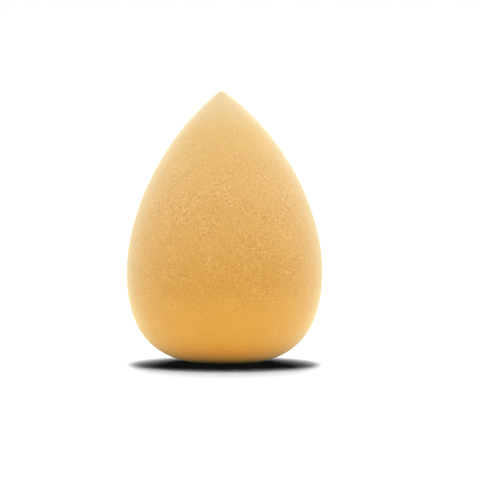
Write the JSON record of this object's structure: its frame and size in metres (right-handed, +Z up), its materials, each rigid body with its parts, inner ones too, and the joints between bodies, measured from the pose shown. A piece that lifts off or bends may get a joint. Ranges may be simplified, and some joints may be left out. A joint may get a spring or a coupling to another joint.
{
  "type": "makeup sponge",
  "caption": "Teardrop makeup sponge of soft open-cell foam with a rounded point, standing on its round end, for dabbing and blending foundation on the face.",
  "frame": {"origin": "middle of the flat that the foam rests on, on the sponge's axis", "axes": "+Z up along the sponge's axis, from the flat to the point; the sponge is round about it"},
  "size_m": [0.0434, 0.0434, 0.06],
  "materials": {
    "foam": "matte"
  },
  "bodies": {
    "root": {"sponge_body": "foam"}
  },
  "joints": []
}
